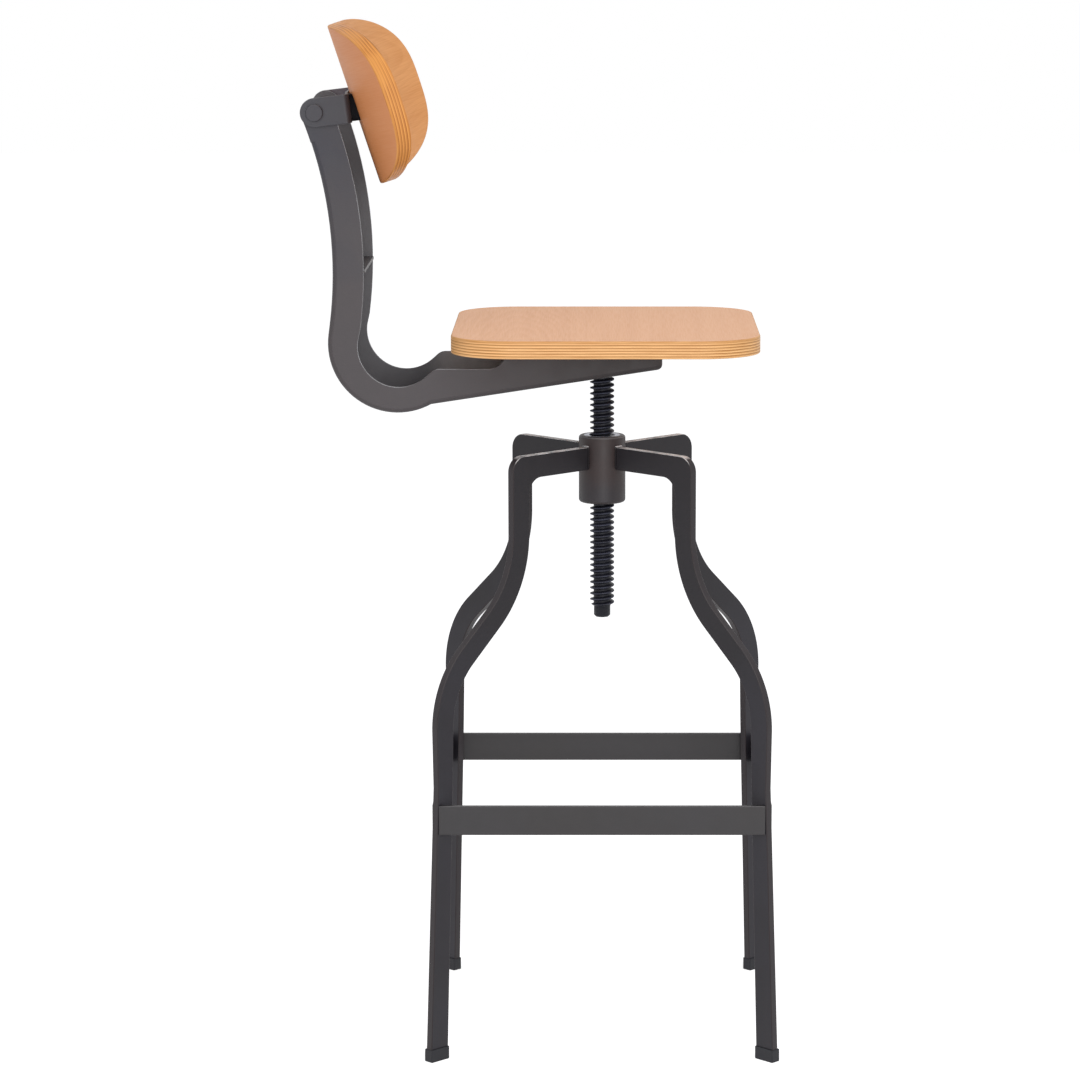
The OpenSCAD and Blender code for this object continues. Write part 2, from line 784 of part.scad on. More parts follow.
// Distance from the bracket's web to the board's back at the screws
pad_reach = board_ahead - bracket_ahead + board_bend_r * (1 - cos(asin(back_screw_span / 2 / board_bend_r)))
          - bracket_bend_r * (1 - cos(back_screw_turn));

// Pads between bracket and board, coped to the web's bend and to the board's
module back_pads() {
    pad_corner_r = 4;
    spare_reach = pad_reach + pad_h / 2;
    color(plastic)
    difference() {
        intersection() {
            back_fastener_frame()
                difference() {
                    translate([0, 0, -through])
                        linear_extrude(height = spare_reach)
                            rounded_square([pad_h, pad_w], pad_corner_r);
                    translate([0, 0, -2 * through])
                        cylinder(r = wood_screw_d / 2 + weld_gap, h = spare_reach + 4 * through);
                }
            bracket_frame()
                translate([bracket_bend_x, 0, -bracket_h])
                    cylinder(r = bracket_bend_r - weld_gap, h = 2 * bracket_h, $fn = 256);
        }
        board_frame()
            bend_cylinder(board_bend_r + weld_gap);
    }
}

module back_screws() {
    color(bare_steel)
    back_fastener_frame()
        translate([0, 0, -sheet_t])
            wood_screw(sheet_t + pad_reach);
}

hub_tube();
spindle_nut();
leg(0);  // leg_front_left
leg(1);  // leg_rear_left
leg(2);  // leg_rear_right
leg(3);  // leg_front_right
foot_cap(0);  // foot_cap_front_left
foot_cap(1);  // foot_cap_rear_left
foot_cap(2);  // foot_cap_rear_right
foot_cap(3);  // foot_cap_front_right
footrest(0);  // footrest_front
footrest(1);  // footrest_left
footrest(2);  // footrest_rear
footrest(3);  // footrest_right
lift_screw();
seat_plate();
seat_screws();
seat_panel();
back_arm();
arm_cross_plate();
pivot_washer(1);  // pivot_washer_left
pivot_washer(-1);  // pivot_washer_right
back_bracket();
pivot_rivet(1);  // pivot_rivet_left
pivot_rivet(-1);  // pivot_rivet_right
back_pads();
back_screws();
backrest_panel();
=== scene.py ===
import math

import bpy
import numpy as np
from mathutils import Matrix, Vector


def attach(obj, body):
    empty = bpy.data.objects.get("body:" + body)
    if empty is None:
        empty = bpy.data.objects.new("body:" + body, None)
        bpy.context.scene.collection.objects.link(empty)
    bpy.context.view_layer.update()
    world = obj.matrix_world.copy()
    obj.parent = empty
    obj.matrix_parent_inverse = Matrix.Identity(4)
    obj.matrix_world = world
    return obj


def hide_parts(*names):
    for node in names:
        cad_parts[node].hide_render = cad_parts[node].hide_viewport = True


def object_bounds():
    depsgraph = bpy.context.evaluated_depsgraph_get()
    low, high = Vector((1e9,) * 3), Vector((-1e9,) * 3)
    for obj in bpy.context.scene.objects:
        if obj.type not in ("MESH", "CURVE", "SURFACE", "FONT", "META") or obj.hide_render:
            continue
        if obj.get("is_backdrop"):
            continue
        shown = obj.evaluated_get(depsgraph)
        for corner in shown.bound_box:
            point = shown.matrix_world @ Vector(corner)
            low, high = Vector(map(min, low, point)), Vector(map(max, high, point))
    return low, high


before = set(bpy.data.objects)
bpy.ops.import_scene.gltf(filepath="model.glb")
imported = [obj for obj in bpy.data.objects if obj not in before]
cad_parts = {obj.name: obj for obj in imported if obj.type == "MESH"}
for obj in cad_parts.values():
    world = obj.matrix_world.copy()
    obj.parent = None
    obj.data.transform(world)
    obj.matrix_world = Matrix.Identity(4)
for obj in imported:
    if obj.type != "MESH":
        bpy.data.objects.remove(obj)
solid_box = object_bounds()


# ---------------------------------------------------------------- studio
# A long lens a little above the seat's height looks across the stool's right side.
# The stool stands on a white floor in a white room, in an even fill with four wide soft lamps:
# two beside the camera, one over the stool and one low in front, which reaches into the channel.
def screen(red, green, blue):
    """Linear light of a colour that is given as it shows on a screen: with c = level / 255, it is
    ((c + 0.055) / 1.055) ** 2.4, or c / 12.92 for the darkest levels."""
    shown = np.array([red, green, blue]) / 255
    light = np.where(shown <= 0.04045, shown / 12.92, ((shown + 0.055) / 1.055) ** 2.4)
    return (*light.tolist(), 1.0)


def feed(tree, inputs, feeds):
    """Feeds inputs by name or number, from sockets or with plain values."""
    for key, value in dict(feeds).items():
        if isinstance(value, bpy.types.NodeSocket):
            tree.links.new(value, inputs[key])
        else:
            inputs[key].default_value = value


def add(tree, kind, feeds=(), **settings):
    """A shader node with its settings made and its inputs fed."""
    node = tree.nodes.new("ShaderNode" + kind)
    for key, value in settings.items():
        setattr(node, key, value)
    feed(tree, node.inputs, feeds)
    return node


def calc(tree, operation, *values):
    """The result of one Math node for the values in their order."""
    return add(tree, "Math", dict(enumerate(values)), operation=operation).outputs[0]


def shows(tree):
    """1 for camera, mirror and glass rays, and 0 for all others."""
    path = add(tree, "LightPath").outputs
    seen = calc(tree, "MAXIMUM", path["Is Camera Ray"], path["Is Glossy Ray"])
    return calc(tree, "MAXIMUM", seen, path["Is Transmission Ray"])


def soft_lamp(name, place, aim, side, watts):
    """A square lamp of a given side at a place, turned to face the aim."""
    lamp = bpy.data.objects.new(name, bpy.data.lights.new(name, "AREA"))
    lamp.data.size = side
    lamp.data.energy = watts
    lamp.location = place
    way = np.array(aim) - np.array(place)
    tilt = math.acos(-way[2] / np.linalg.norm(way))
    lamp.rotation_euler = (tilt, 0, math.atan2(way[1], way[0]) - math.pi / 2)
    bpy.context.scene.collection.objects.link(lamp)


eye_back, eye_up, eye_down_angle = 3.8542, 1.161, 9.6
scene = bpy.context.scene
scene.view_settings.view_transform = "Standard"
eye = bpy.data.objects.new("camera", bpy.data.cameras.new("camera"))
eye.data.lens = 125.085
eye.data.sensor_width = 36
eye.data.shift_x = -0.0575
eye.location = (0, -eye_back, eye_up)
eye.rotation_euler = (math.radians(90 - eye_down_angle), 0, 0)
scene.collection.objects.link(eye)
scene.camera = eye

fill_level, stool_middle = 0.5, (0, 0, 0.7)
scene.world = bpy.data.worlds.new("white room")
scene.world.use_nodes = True
room = scene.world.node_tree
room.nodes.clear()
fill = add(room, "Background", {"Color": (0.97, 0.98, 1.0, 1), "Strength": fill_level}).outputs[0]
white = add(room, "Background", {"Color": (1, 1, 1, 1), "Strength": 1.0}).outputs[0]
both = add(room, "MixShader", {0: shows(room), 1: fill, 2: white}).outputs[0]
add(room, "OutputWorld", {0: both})
soft_lamp("wide lamp", (1.1, -3.2, 2.3), stool_middle, side=2.6, watts=42)
soft_lamp("side lamp", (-2.6, -2.6, 2.4), stool_middle, side=2.0, watts=22)
soft_lamp("front lamp", (0.5, -4.6, 1.05), stool_middle, side=1.2, watts=43)
soft_lamp("top lamp", (0.3, -0.7, 3.4), stool_middle, side=2.0, watts=20)

floor_half, floor_tone, floor_glow = 14.0, 0.88, 0.6
corners = floor_half * np.array([[-1, -1, 0], [1, -1, 0], [1, 1, 0], [-1, 1, 0]])
floor = bpy.data.objects.new("floor", bpy.data.meshes.new("floor"))
floor.data.from_pydata(corners.tolist(), [], [(0, 1, 2, 3)])
scene.collection.objects.link(floor)
paint = bpy.data.materials.new("floor paint")
paint.use_nodes = True
coat = paint.node_tree
coat.nodes.clear()
matt = add(coat, "BsdfDiffuse", {"Color": (floor_tone, floor_tone, floor_tone, 1)}).outputs[0]
level = calc(coat, "MULTIPLY", shows(coat), floor_glow)
glow = add(coat, "Emission", {"Color": (1, 1, 1, 1), "Strength": level}).outputs[0]
add(coat, "OutputMaterial", {0: add(coat, "AddShader", {0: matt, 1: glow}).outputs[0]})
floor.data.materials.append(paint)
floor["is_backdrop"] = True


# ---------------------------------------------------------------- hub
# Thick drawn steel tube, both rims turned round, standing between the four arms.
# The nut is pressed into it from above and leaves a recess round the screw.
def unit(vectors):
    """Each vector divided by its own length."""
    return vectors / np.linalg.norm(vectors, axis=-1, keepdims=True)


def eased(corners, radii, steps=6):
    """Closed outline with rounded corners. Each corner gives way to an arc that touches both its
    sides: centre = corner + bisector * r / sin(half angle), and the arc turns from one touch point
    to the other. Returns the points and a mask that is 1 in the middle of each arc."""
    point = np.asarray(corners, float)
    radius = np.broadcast_to(np.asarray(radii, float), (len(point),))[:, None]
    back, on = unit(np.roll(point, 1, 0) - point), unit(np.roll(point, -1, 0) - point)
    half = 0.5 * np.arccos(np.clip((back * on).sum(1), -1, 1))[:, None]
    centre = point + unit(back + on) * radius / np.sin(half)
    first = point + back * radius / np.tan(half) - centre
    last = point + on * radius / np.tan(half) - centre
    share, turn = np.linspace(0, 1, steps + 1)[None, :, None], (math.pi - 2 * half)[:, None]
    bow = np.sin((1 - share) * turn) * first[:, None] + np.sin(share * turn) * last[:, None]
    mask = np.tile(np.sin(math.pi * share[0, :, 0]), len(point))
    return (centre[:, None] + bow / np.sin(turn)).reshape(-1, 2), mask


def skin(name, grid, looped=False, **fields):
    """Closed surface over a grid of points in millimetres, whose columns go round the piece. A
    cell is a four-sided face between rows i, i + 1 and columns j, j + 1. The rows either loop, or
    end in one flat face each. Every field is kept as an attribute of the points, and the faces are
    turned to look outwards: the sum of a . (b x c) over all triangles has to be positive."""
    rows, columns, _ = grid.shape
    index = np.arange(rows * columns).reshape(rows, columns)
    above = np.roll(index, -1, 0) if looped else index[1:]
    here = index if looped else index[:-1]
    cells = np.stack([here, np.roll(here, -1, 1), np.roll(above, -1, 1), above], -1).reshape(-1, 4)
    ends = [] if looped else [index[0, ::-1].tolist(), index[-1].tolist()]
    mesh = bpy.data.meshes.new(name)
    mesh.from_pydata((grid.reshape(-1, 3) / 1000).tolist(), [], cells.tolist() + ends)
    for field, values in fields.items():
        flat = np.asarray(values, float)
        if flat.shape[2:] == (3,):
            kind, key = "FLOAT_VECTOR", "vector"
        else:
            kind, key = "FLOAT", "value"
        mesh.attributes.new(field, kind, "POINT").data.foreach_set(key, flat.ravel())
    mesh.calc_loop_triangles()
    tri = np.empty(len(mesh.loop_triangles) * 3, np.int32)
    mesh.loop_triangles.foreach_get("vertices", tri)
    a, b, c = (grid.reshape(-1, 3)[tri.reshape(-1, 3)[:, k]] for k in range(3))
    if (a * np.cross(b, c)).sum() < 0:
        mesh.flip_normals()
    mesh.shade_smooth()
    piece = bpy.data.objects.new(name, mesh)
    bpy.context.scene.collection.objects.link(piece)
    return piece


def turned(name, profile, mask, steps=96):
    """Closed profile of radius and height turned about Z: x = r cos a, y = r sin a, z = h."""
    angle = np.linspace(0, 2 * math.pi, steps, endpoint=False)
    r, h = profile[:, :1], profile[:, 1:]
    grid = np.stack([r * np.cos(angle), r * np.sin(angle), h + 0 * angle], -1)
    return skin(name, grid, looped=True, edge=mask[:, None] + 0 * angle)


def flat_faces(piece):
    """Makes flat faces shade flat right up to their rounded edges."""
    piece.modifiers.new("flat faces", "WEIGHTED_NORMAL").weight = 100


def new_finish(name):
    """A fresh material, its node tree and its shader."""
    material = bpy.data.materials.new(name)
    material.use_nodes = True
    return material, material.node_tree, material.node_tree.nodes["Principled BSDF"]


def group_of(name, inputs, outputs):
    """An empty shader group with named sockets, and its inner ends."""
    group = bpy.data.node_groups.new(name, "ShaderNodeTree")
    for label, kind, value in inputs:
        socket = group.interface.new_socket(label, in_out="INPUT", socket_type="NodeSocket" + kind)
        socket.default_value = value
    for label, kind in outputs:
        group.interface.new_socket(label, in_out="OUTPUT", socket_type="NodeSocket" + kind)
    given = group.nodes.new("NodeGroupInput").outputs
    return group, given, group.nodes.new("NodeGroupOutput").inputs


def eased_range(tree, value, low, high, to_low=0.0, to_high=1.0):
    """The value from low..high onto to_low..to_high, eased at both ends and held past them."""
    feeds = {"Value": value, "From Min": low, "From Max": high, "To Min": to_low, "To Max": to_high}
    return add(tree, "MapRange", feeds, interpolation_type="SMOOTHSTEP").outputs["Result"]


def held(tree, value):
    """The value held between 0 and 1."""
    return add(tree, "Clamp", {0: value}).outputs[0]


def blend_colours(tree, share, first, second):
    """The first colour turning into the second by the share."""
    return add(tree, "Mix", {0: share, 6: first, 7: second}, data_type="RGBA").outputs[2]


def noise(tree, point, scale, detail, roughness=0.5):
    """A value between 0 and 1 that clouds over the points, scale clouds to the metre."""
    feeds = {"Vector": point, "Scale": scale, "Detail": detail, "Roughness": roughness}
    return add(tree, "TexNoise", feeds).outputs[0]


def product(tree, first, second):
    """Two vectors multiplied part by part."""
    return add(tree, "VectorMath", {0: first, 1: second}, operation="MULTIPLY").outputs[0]


def scaled(tree, vector, level):
    """A vector or colour times a level."""
    return add(tree, "VectorMath", {0: vector, "Scale": level}, operation="SCALE").outputs[0]


def likeness(tree, first, second):
    """Dot product of two ways: 1 where they agree, 0 where they are square to each other."""
    return add(tree, "VectorMath", {0: first, 1: second}, operation="DOT_PRODUCT").outputs["Value"]


def bumped(tree, height, depth, strength):
    """The surface's normal after a bump of a given depth in metres."""
    feeds = {"Height": height, "Distance": depth, "Strength": strength}
    return add(tree, "Bump", feeds).outputs[0]


# Lacquer: wide clouds turn it from cool to warm, a mottle and grit vary its tone, and edges show
# an edge tone. Edges marked to face the light take a bright tone: a painted highlight, with some wear.
dark_lacquer, given, result = group_of(
    "dark lacquer over steel",
    [("Point", "Vector", (0, 0, 0)), ("Cool", "Color", screen(50, 49, 55)),
     ("Warm", "Color", screen(52, 44, 43)), ("Warmth", "Float", 0.0), ("Edge", "Float", 0.0),
     ("Highlight and wear", "Float", 0.0), ("Dark", "Color", screen(40, 30, 30)),
     ("Highlight and wear tone", "Color", screen(184, 184, 188))],
    [("Colour", "Color"), ("Roughness", "Float"), ("Height", "Float")])
tree = dark_lacquer
cloud = noise(tree, given["Point"], 8.0, 4.0, 0.55)
mottle = noise(tree, given["Point"], 60.0, 5.0, 0.6)
grit = noise(tree, given["Point"], 950.0, 2.0)
warmth = calc(tree, "ADD", eased_range(tree, cloud, 0.34, 0.7, 0.0, 0.7), given["Warmth"])
body = blend_colours(tree, held(tree, warmth), given["Cool"], given["Warm"])
shade = calc(tree, "MULTIPLY", eased_range(tree, mottle, 0.3, 0.7, 0.93, 1.07),
             eased_range(tree, grit, 0.3, 0.7, 0.97, 1.03))
body = scaled(tree, body, shade)
edge_tone = calc(tree, "MULTIPLY", given["Edge"], eased_range(tree, mottle, 0.3, 0.65, 0.4, 0.95))
body = blend_colours(tree, edge_tone, body, given["Dark"])
highlight_and_wear_share = calc(tree, "MULTIPLY", given["Highlight and wear"], eased_range(tree, mottle, 0.3, 0.6, 0.35, 1.0))
feed(tree, result, {
    "Colour": blend_colours(tree, highlight_and_wear_share, body, given["Highlight and wear tone"]),
    "Roughness": eased_range(tree, mottle, 0.25, 0.75, 0.4, 0.52),
    "Height": calc(tree, "MULTIPLY_ADD", grit, 0.35, mottle)})

# In metres: how far an arris reaches, how far off the middle plane a face counts as a channel's
# inner wall, and where on X the painted light on inner walls passes from its tone in the open to
# the lighter one below the seat's shade. The two shares say how much alike the surface and its
# round-over stand where an edge starts and is full.
arris_reach = 0.0014
edge_starts, edge_full = 0.992, 0.9
wall_clear, wall_near = -0.03, -0.06
inner_light_open, inner_light_below_seat = -0.19, -0.14


def steel_finish(name, cool, warm, edge="edge", way=(0, 0, 1), highlight_and_wear_level=0.9, warm_from=None, rim=None,
                 painted_inner_light=None, edge_tone=screen(32, 22, 22), bright=screen(184, 184, 188), highlight_heights=None,
                 painted_seat_shade=None, gloss=0.4):
    """Lacquered steel. The edge mask is a point attribute, or, without one, where a small
    round-over would turn the surface. Edges that face the way take the bright tone, a painted
    highlight with some wear, and the others show the edge tone. warm_from gives two heights between
    which the tone turns warmer, and rim a tone for a plate's cut rim. Faces that look towards the
    middle plane y = 0, as a channel's inner walls do, can take two lighter tones, painted light for
    the open and for below the seat's shade. Two heights can limit the painted highlight on edges,
    and two places on X with a tone paint a shade that darkens between them."""
    material, tree, shader = new_finish(name)
    place = add(tree, "TexCoord").outputs["Object"]
    flat_normal = add(tree, "NewGeometry").outputs["Normal"]
    if edge:
        mask = add(tree, "Attribute", attribute_name=edge).outputs["Fac"]
        turned_normal = flat_normal
    else:
        turned_normal = add(tree, "Bevel", {"Radius": arris_reach}, samples=8).outputs[0]
        same = likeness(tree, turned_normal, flat_normal)
        mask = eased_range(tree, same, edge_starts, edge_full)
    facing = likeness(tree, turned_normal, way)
    # Edges that face the way take a painted highlight, with some wear.
    highlight_and_wear = calc(tree, "MULTIPLY", mask, eased_range(tree, facing, 0.15, 0.5, 0.0, highlight_and_wear_level))
    spot = add(tree, "SeparateXYZ", {0: place}).outputs
    limit = eased_range(tree, spot[2], *highlight_heights, 0.04, 1.0) if highlight_heights else 1.0
    highlight_and_wear = calc(tree, "MULTIPLY", highlight_and_wear, limit)
    feeds = {"Point": place, "Cool": cool, "Warm": warm, "Edge": mask, "Highlight and wear": highlight_and_wear,
             "Dark": edge_tone, "Highlight and wear tone": bright}
    # Painted shade: the tone darkens towards a given tone between two places on X.
    if painted_seat_shade:
        share = eased_range(tree, spot[0], *painted_seat_shade[:2])
        feeds["Cool"] = blend_colours(tree, share, cool, painted_seat_shade[2])
        feeds["Warm"] = blend_colours(tree, share, warm, painted_seat_shade[2])
    # A cut rim that faces the way takes the painted highlight as well.
    if rim:
        on_rim = add(tree, "Attribute", attribute_name="rim").outputs["Fac"]
        level = calc(tree, "MULTIPLY", on_rim, eased_range(tree, facing, 0.8, 0.98, 0.0, highlight_and_wear_level))
        level = calc(tree, "MULTIPLY", level, limit)
        feeds["Highlight and wear"] = calc(tree, "MAXIMUM", highlight_and_wear, level)
        feeds["Cool"] = blend_colours(tree, on_rim, cool, rim)
        feeds["Warm"] = blend_colours(tree, on_rim, warm, rim)
    # Painted light: faces turned towards the middle plane take lighter tones, lightest below the seat, to
    # stand in for light their shade keeps out.
    if painted_inner_light:
        look = add(tree, "SeparateXYZ", {0: product(tree, flat_normal, place)}).outputs[1]
        inward = eased_range(tree, look, wall_clear, wall_near)
        shaded = eased_range(tree, spot[0], inner_light_open, inner_light_below_seat)
        painted_inner_tone = blend_colours(tree, shaded, *painted_inner_light)
        feeds["Cool"] = blend_colours(tree, inward, feeds["Cool"], painted_inner_tone)
        feeds["Warm"] = blend_colours(tree, inward, feeds["Warm"], painted_inner_tone)
    if warm_from:
        feeds["Warmth"] = eased_range(tree, spot[2], *warm_from)
    lacquer = add(tree, "Group", feeds, node_tree=dark_lacquer).outputs
    feed(tree, shader.inputs, {
        "Base Color": lacquer["Colour"], "Roughness": lacquer["Roughness"],
        "Normal": bumped(tree, lacquer["Height"], 0.0001, 0.3),
        "Metallic": 0.1, "Specular IOR Level": gloss})
    return material


hub_r, hub_bore_r, hub_low, hub_top = 24.2, 18.8, 550.0, 620.0
hub_corners = [(hub_bore_r, hub_low), (hub_r, hub_low), (hub_r, hub_top), (hub_bore_r, hub_top)]
hub_roundings = [0.8, 3.0, 2.6, 0.5]
hub = turned("hub_turned_tube", *eased(hub_corners, hub_roundings))
flat_faces(hub)
# Painted highlight: its upward edges take a faint bright tone.
hub_lacquer = steel_finish("hub lacquer", screen(39, 38, 43), screen(46, 36, 36),
                           warm_from=(0.555, 0.6), highlight_and_wear_level=0.3)
hub.data.materials.append(hub_lacquer)
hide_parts("hub_tube")
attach(hub, "base")


# ---------------------------------------------------------------- ring in the hub's mouth
# Bright turned steel ring that fills the recess between the screw and the hub's bore.
# It lies on the nut and stands a hair proud of the hub's rim.
def bare_steel(name, tone, brighter, roughness):
    """Turned steel without paint: faint rings round Z, and a tone that clouds between two greys.
    The rings are noise over the radius and the height, each stretched by its own number."""
    rings_out, rings_up = 2600.0, 900.0
    material, tree, shader = new_finish(name)
    place = add(tree, "SeparateXYZ", {0: add(tree, "TexCoord").outputs["Object"]}).outputs
    radius = calc(tree, "SQRT", calc(tree, "ADD", calc(tree, "MULTIPLY", place[0], place[0]),
                                     calc(tree, "MULTIPLY", place[1], place[1])))
    spread = add(tree, "CombineXYZ", {0: calc(tree, "MULTIPLY", radius, rings_out),
                                      1: calc(tree, "MULTIPLY", place[2], rings_up)})
    cut = noise(tree, spread.outputs[0], 1.0, 2.0)
    feed(tree, shader.inputs, {
        "Base Color": blend_colours(tree, eased_range(tree, cut, 0.3, 0.7), tone, brighter),
        "Roughness": eased_range(tree, cut, 0.3, 0.7, *roughness),
        "Normal": bumped(tree, cut, 0.00005, 0.4),
        "Metallic": 0.8})
    return material


ring_in_r, ring_out_r, ring_low, ring_top = 13.2, 18.7, 613.0, 620.2
ring_corners = [(ring_in_r, ring_low), (ring_out_r, ring_low),
                (ring_out_r, ring_top), (ring_in_r, ring_top)]
ring_roundings = [0.3, 0.3, 0.5, 0.8]
mouth_ring = turned("hub_mouth_ring", *eased(ring_corners, ring_roundings))
flat_faces(mouth_ring)
ring_steel = bare_steel("ring steel", screen(150, 156, 172), screen(196, 202, 214), (0.3, 0.42))
mouth_ring.data.materials.append(ring_steel)
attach(mouth_ring, "base")


# ---------------------------------------------------------------- legs
# Four legs, each one strip cut from 8 mm steel plate to a bent outline: a level arm welded
# to the hub, a drop, two easy bends and a shin that splays a little to the floor.
def outward(outline):
    """The mitred way out at each point of a closed outline: the sum of the normals of the two
    sides that meet there, over 1 + their dot product, so that a step along it moves both sides
    by that step."""
    along = unit(np.roll(outline, -1, 0) - outline)
    across = np.stack([along[:, 1], -along[:, 0]], -1)
    before = np.roll(across, 1, 0)
    mitre = (across + before) / (1 + (across * before).sum(1, keepdims=True))
    x, y = outline.T
    area = (x * np.roll(y, -1) - np.roll(x, -1) * y).sum()
    return -mitre if area < 0 else mitre


def plate(name, outline, thickness, arris, place):
    """A flat outline given thickness w, its rims rounded by a small arris: on a rim the outline
    moves in by arris * (1 - sin a) while w moves by arris * (1 - cos a), and place(u, v, w) stands
    it in the stool. Fields: edge = 1 in the middle of an arris, rim = 1 on the cut rim."""
    a = np.linspace(0, math.pi / 2, 5)
    both_rims = np.concatenate([a, a[::-1]])
    inset = arris * (1 - np.sin(both_rims))
    low = arris * (1 - np.cos(a)) - thickness / 2
    w = np.concatenate([low, -low[::-1]])
    mask, rim = np.sin(2 * both_rims), np.sin(both_rims)
    u, v = np.moveaxis(outline[None] - inset[:, None, None] * outward(outline)[None], -1, 0)
    grid = np.stack(place(u, v, w[:, None] + 0 * u), -1)
    return skin(name, grid, edge=mask[:, None] + 0 * u, rim=rim[:, None] + 0 * u)


def arc(x, y, r, start, end, steps=24):
    """Points x + r cos a, y + r sin a, with a in degrees from start to end."""
    a = np.radians(np.linspace(start, end, steps + 1))
    return np.stack([x + r * np.cos(a), y + r * np.sin(a)], -1)


leg_t, leg_arris, hub_bury = 8.0, 0.9, 1.0
arm_top, arm_depth, drop_r, drop_w = 609.5, 23.8, 119.8, 23.0
outer_corner_r, inner_corner_r = 16.0, 17.0
bend_z, bend_angle, upper_r, run, lower_r, bend_w = 529.0, 49.0, 110.0, 49.0, 94.0, 22.6
shin_z, shin_w, shin_splay, foot_w, sole_z = 283.0, 20.0, 11.0, 23.0, 3.0
turn = math.radians(bend_angle)
lower_x = drop_r + upper_r * (1 - math.cos(turn)) + run * math.sin(turn) - lower_r * math.cos(turn)
lower_y = bend_z - upper_r * math.sin(turn) - run * math.cos(turn) - lower_r * math.sin(turn)


def shin_middle(z):
    """Radius of the shin's middle at height z, and half its width there."""
    share = (shin_z - z) / shin_z
    return lower_x + lower_r + shin_splay * share, (shin_w + (foot_w - shin_w) * share) / 2


def leg_side(side):
    """One edge of the leg from the upper bend to the sole: two arcs about the bends' centres whose
    radius is the bend's own, less or more half the width, which changes evenly from one bend to
    the next."""
    share = np.linspace(0, 1, 25)
    upper_bow = upper_r - side * (drop_w + (bend_w - drop_w) * share / 2) / 2
    a = math.pi + turn * share
    upper = np.stack([drop_r + upper_r + upper_bow * np.cos(a), bend_z + upper_bow * np.sin(a)], -1)
    lower_bow = lower_r + side * (drop_w + (bend_w - drop_w) * (1 + share) / 2) / 2
    a = turn * (1 - share)
    lower = np.stack([lower_x + lower_bow * np.cos(a), lower_y + lower_bow * np.sin(a)], -1)
    top, sole = shin_middle(shin_z), shin_middle(sole_z)
    shin = [[top[0] + side * top[1], shin_z], [sole[0] + side * sole[1], sole_z]]
    return np.concatenate([upper, lower, shin])


arm_low = arm_top - arm_depth
leg_outline = np.concatenate([
    [[hub_r - hub_bury, arm_top]],
    arc(drop_r + drop_w / 2 - outer_corner_r, arm_top - outer_corner_r, outer_corner_r, 90, 0),
    leg_side(1), leg_side(-1)[::-1],
    arc(drop_r - drop_w / 2 - inner_corner_r, arm_low - inner_corner_r, inner_corner_r, 0, 90),
    [[hub_r - hub_bury, arm_low]]])
# Painted highlight: the arms' top edges and rims take a near-white tone, only at the arms' height.
leg_lacquer = steel_finish("leg lacquer", screen(42, 40, 46), screen(34, 31, 35),
                           rim=screen(46, 41, 44), highlight_and_wear_level=1.0, warm_from=(0.36, 0.5),
                           bright=screen(240, 240, 242), highlight_heights=(0.601, 0.607), gloss=0.32)
leg_names = {45: "front_left", 135: "rear_left", 225: "rear_right", 315: "front_right"}
for angle, corner in leg_names.items():
    c, s = math.cos(math.radians(angle)), math.sin(math.radians(angle))
    leg = plate("leg_strip_" + corner, leg_outline, leg_t, leg_arris,
                lambda u, v, w: (u * c - w * s, u * s + w * c, v))
    flat_faces(leg)
    leg.data.materials.append(leg_lacquer)
    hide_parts("leg_" + corner)
    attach(leg, "base")


# ---------------------------------------------------------------- welds at the hub
# A steel bead joins each arm to the hub: up one side, over the arm's top and down the other.
# It is laid in small ripples and lacquered like the rest, but in a darker tone that paints the shade of the
# joint, and its top carries a painted glint.
shine_from, shine_over = 608.0, 1.6


def weld_bead(name, path, r, ripple):
    """A bead along a path: round at every point, its radius r * (1 + 0.16 * cos(2 pi s / ripple))
    over the length s, drawn in to a blunt tip at both ends, on a frame of the path's own direction
    and two across. Field: edge = 1 where the bead is high enough to take a painted glint."""
    around, slant = 12, [[0.31, 0.17, 0.94]]
    along = unit(np.gradient(path, axis=0))
    steps = np.linalg.norm(np.diff(path, axis=0), axis=1)
    length = np.concatenate([[0], np.cumsum(steps)])
    one = unit(np.cross(along, slant))
    two = np.cross(along, one)
    tip = np.sqrt(np.clip(np.minimum(length, length[-1] - length) / r, 0.04, 1))
    thick = (r * (1 + 0.16 * np.cos(2 * math.pi * length / ripple)) * tip)[:, None, None]
    a = np.linspace(0, 2 * math.pi, around, endpoint=False)[None, :, None]
    grid = path[:, None] + thick * (np.cos(a) * one[:, None] + np.sin(a) * two[:, None])
    return skin(name, grid, edge=np.clip((grid[..., 2] - shine_from) / shine_over, 0, 1))


bead_r, bead_ripple, bead_proud, bead_turn_r, bead_gap, bead_start = 1.1, 1.9, 0.2, 1.4, 0.4, 1.0
bead_y, bead_low, bead_top = leg_t / 2 + bead_proud, arm_low + bead_start, arm_top + bead_proud
rise_steps, top_steps = 48, 8
